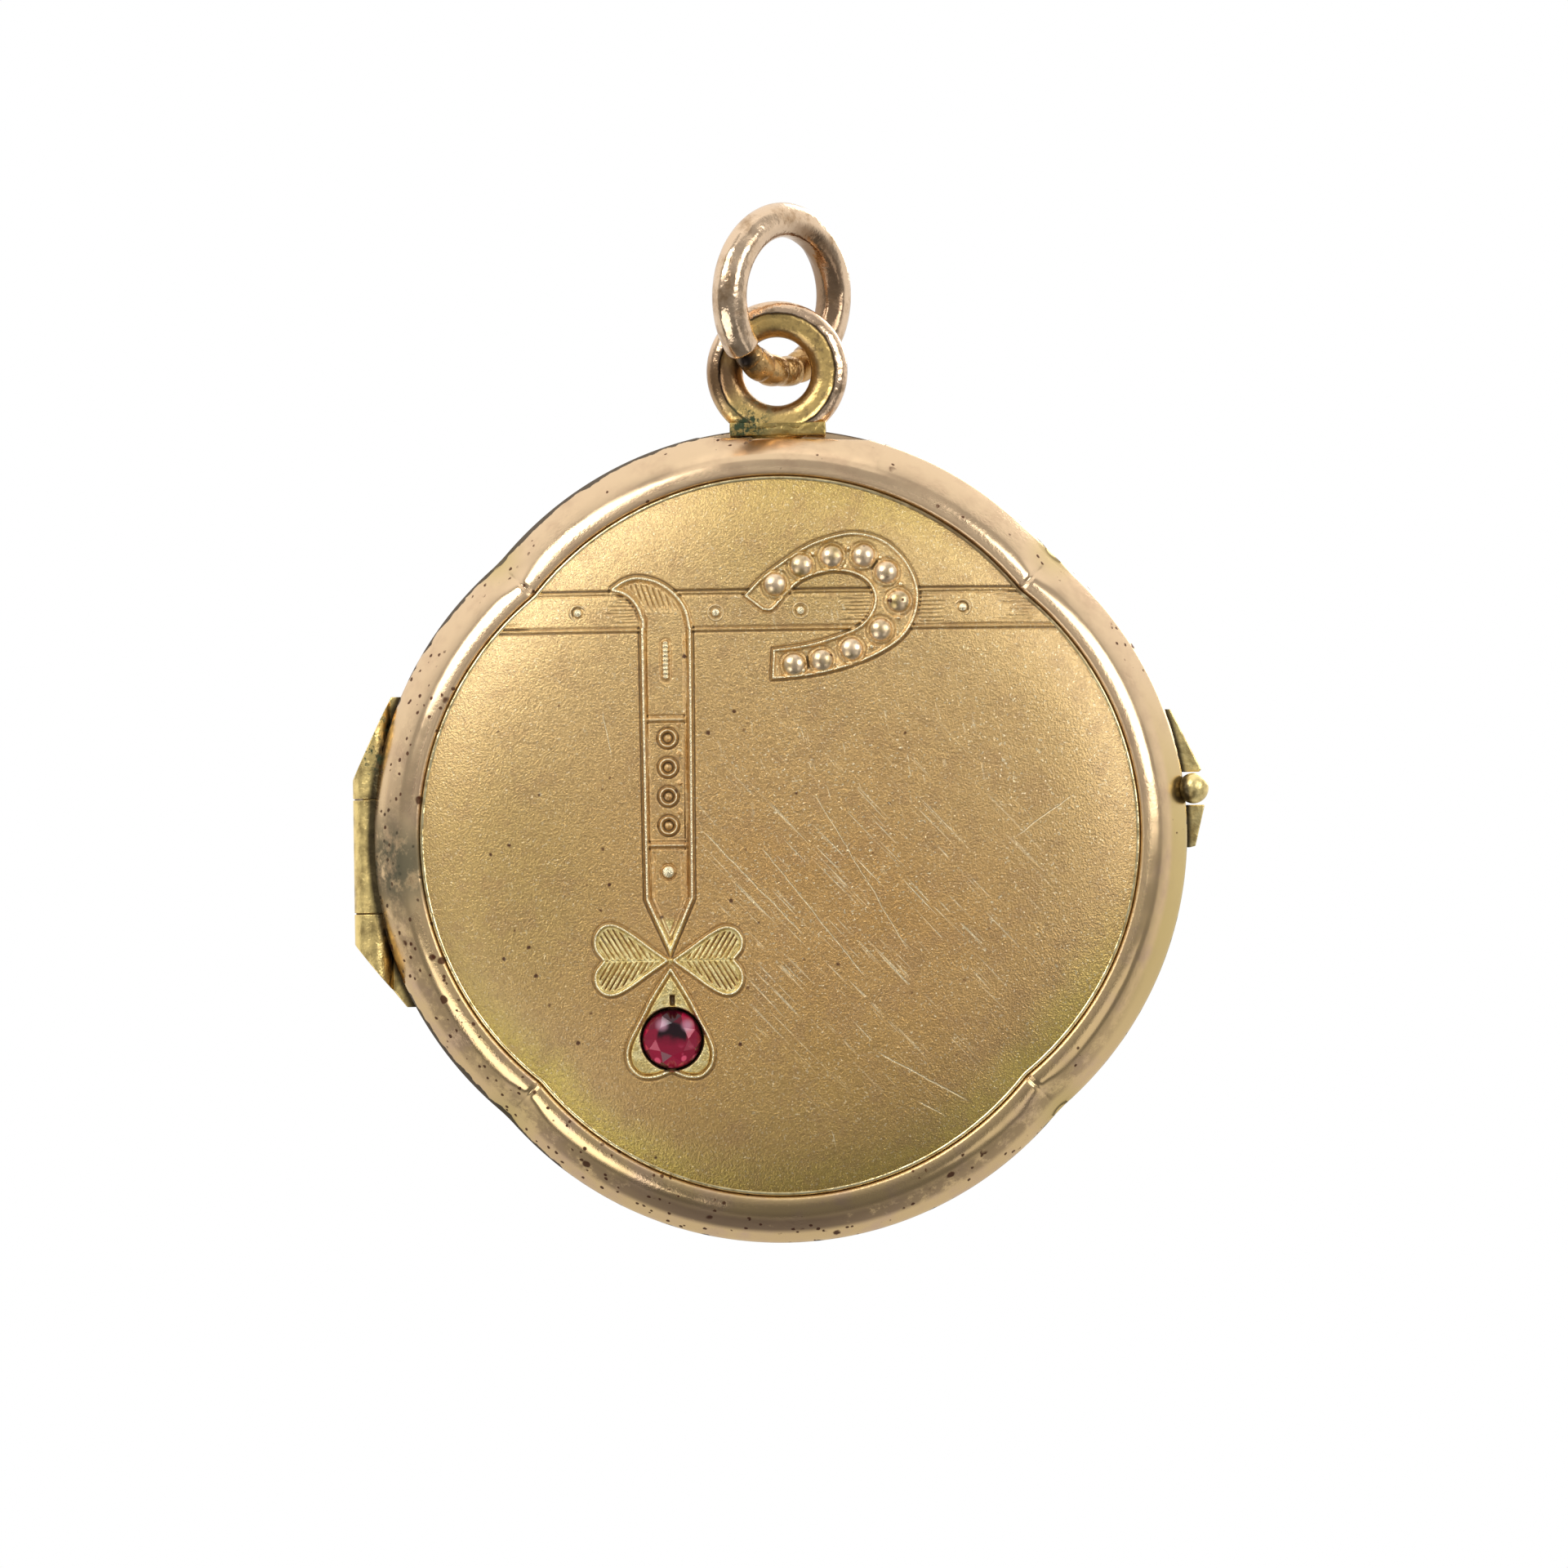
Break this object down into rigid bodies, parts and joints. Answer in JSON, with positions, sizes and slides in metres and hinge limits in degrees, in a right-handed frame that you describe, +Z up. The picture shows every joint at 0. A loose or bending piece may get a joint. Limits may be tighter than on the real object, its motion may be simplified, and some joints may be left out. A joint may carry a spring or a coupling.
{
  "type": "locket",
  "caption": "Hinged four-lobed picture locket with domed panels, a set red stone, a bail and a jump ring; the cover opens on a side hinge.",
  "frame": {"origin": "centre of the jump ring's hole, where the chain passes", "axes": "+Z up along the hanging locket, -Y out of the decorated cover, -X towards the hinge"},
  "size_m": [0.0261, 0.005, 0.0319],
  "materials": {
    "polished_rim": "polished rose-gold plate, tarnished in specks",
    "engraved_panel": "matte fine-grained gold plate with raised ornament",
    "back_plate": "satin rose-gold plate, worn",
    "gilt_brass": "dull gilt brass",
    "hinge_metal": "worn yellow brass with verdigris in the corners",
    "pin_wire": "drawn brass wire",
    "bail_metal": "worn gold plate with verdigris at its foot",
    "plated_wire": "polished rose-gold wire",
    "solder": "rough filed hard solder",
    "bezel_metal": "polished gilt brass strip",
    "window": "clear yellowed sheet",
    "card": "plain paper card",
    "red_paste": "faceted ruby-red paste"
  },
  "bodies": {
    "chain_link": {"jump_ring": "plated_wire", "ring_solder": "solder"},
    "back": {"back_frame": "gilt_brass", "catch_lip": "gilt_brass", "back_rim": "polished_rim", "back_panel": "back_plate", "upper_knuckle": "hinge_metal", "lower_knuckle": "hinge_metal", "hinge_pin": "pin_wire", "back_bezel": "bezel_metal", "back_window": "window", "back_card": "card", "bail": "bail_metal", "bail_foot": "bail_metal", "upper_thumb_guard": "hinge_metal", "lower_thumb_guard": "hinge_metal"},
    "cover": {"front_frame": "gilt_brass", "front_rim": "polished_rim", "front_panel": "engraved_panel", "middle_knuckle": "hinge_metal", "front_bezel": "bezel_metal", "front_window": "window", "front_card": "card", "thumb_ball": "hinge_metal", "stone": "red_paste", "stone_cup": "gilt_brass"}
  },
  "joints": [
    {"name": "case_swing", "type": "hinge", "parent": "chain_link", "child": "back", "pos_m": [-0.00018, 0, -0.00231], "axis": [0.342, 0.9397, 0], "range_deg": [-75, 75]},
    {"name": "cover_hinge", "type": "hinge", "parent": "back", "child": "cover", "pos_m": [-0.01277, 0, -0.01651], "axis": [0, 0, -1], "range_deg": [0, 175]}
  ]
}
